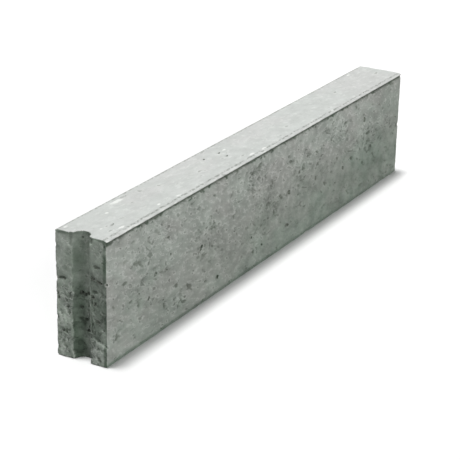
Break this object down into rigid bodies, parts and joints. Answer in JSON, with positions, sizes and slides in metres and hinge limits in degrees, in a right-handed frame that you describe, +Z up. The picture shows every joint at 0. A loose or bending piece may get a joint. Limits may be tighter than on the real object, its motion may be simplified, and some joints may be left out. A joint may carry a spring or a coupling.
{
  "type": "concrete kerb stone",
  "caption": "Straight upright concrete kerb stone with thin sloped lips along the top and a rounded joint groove down one end.",
  "frame": {"origin": "middle of the foot, on the ground that the stone stands on", "axes": "+X along the stone towards its plain end, +Y across it, +Z up; the joint groove is at -X"},
  "size_m": [1, 0.09, 0.2],
  "materials": {
    "concrete": "matte"
  },
  "bodies": {
    "root": {"kerb_stone": "concrete"}
  },
  "joints": []
}
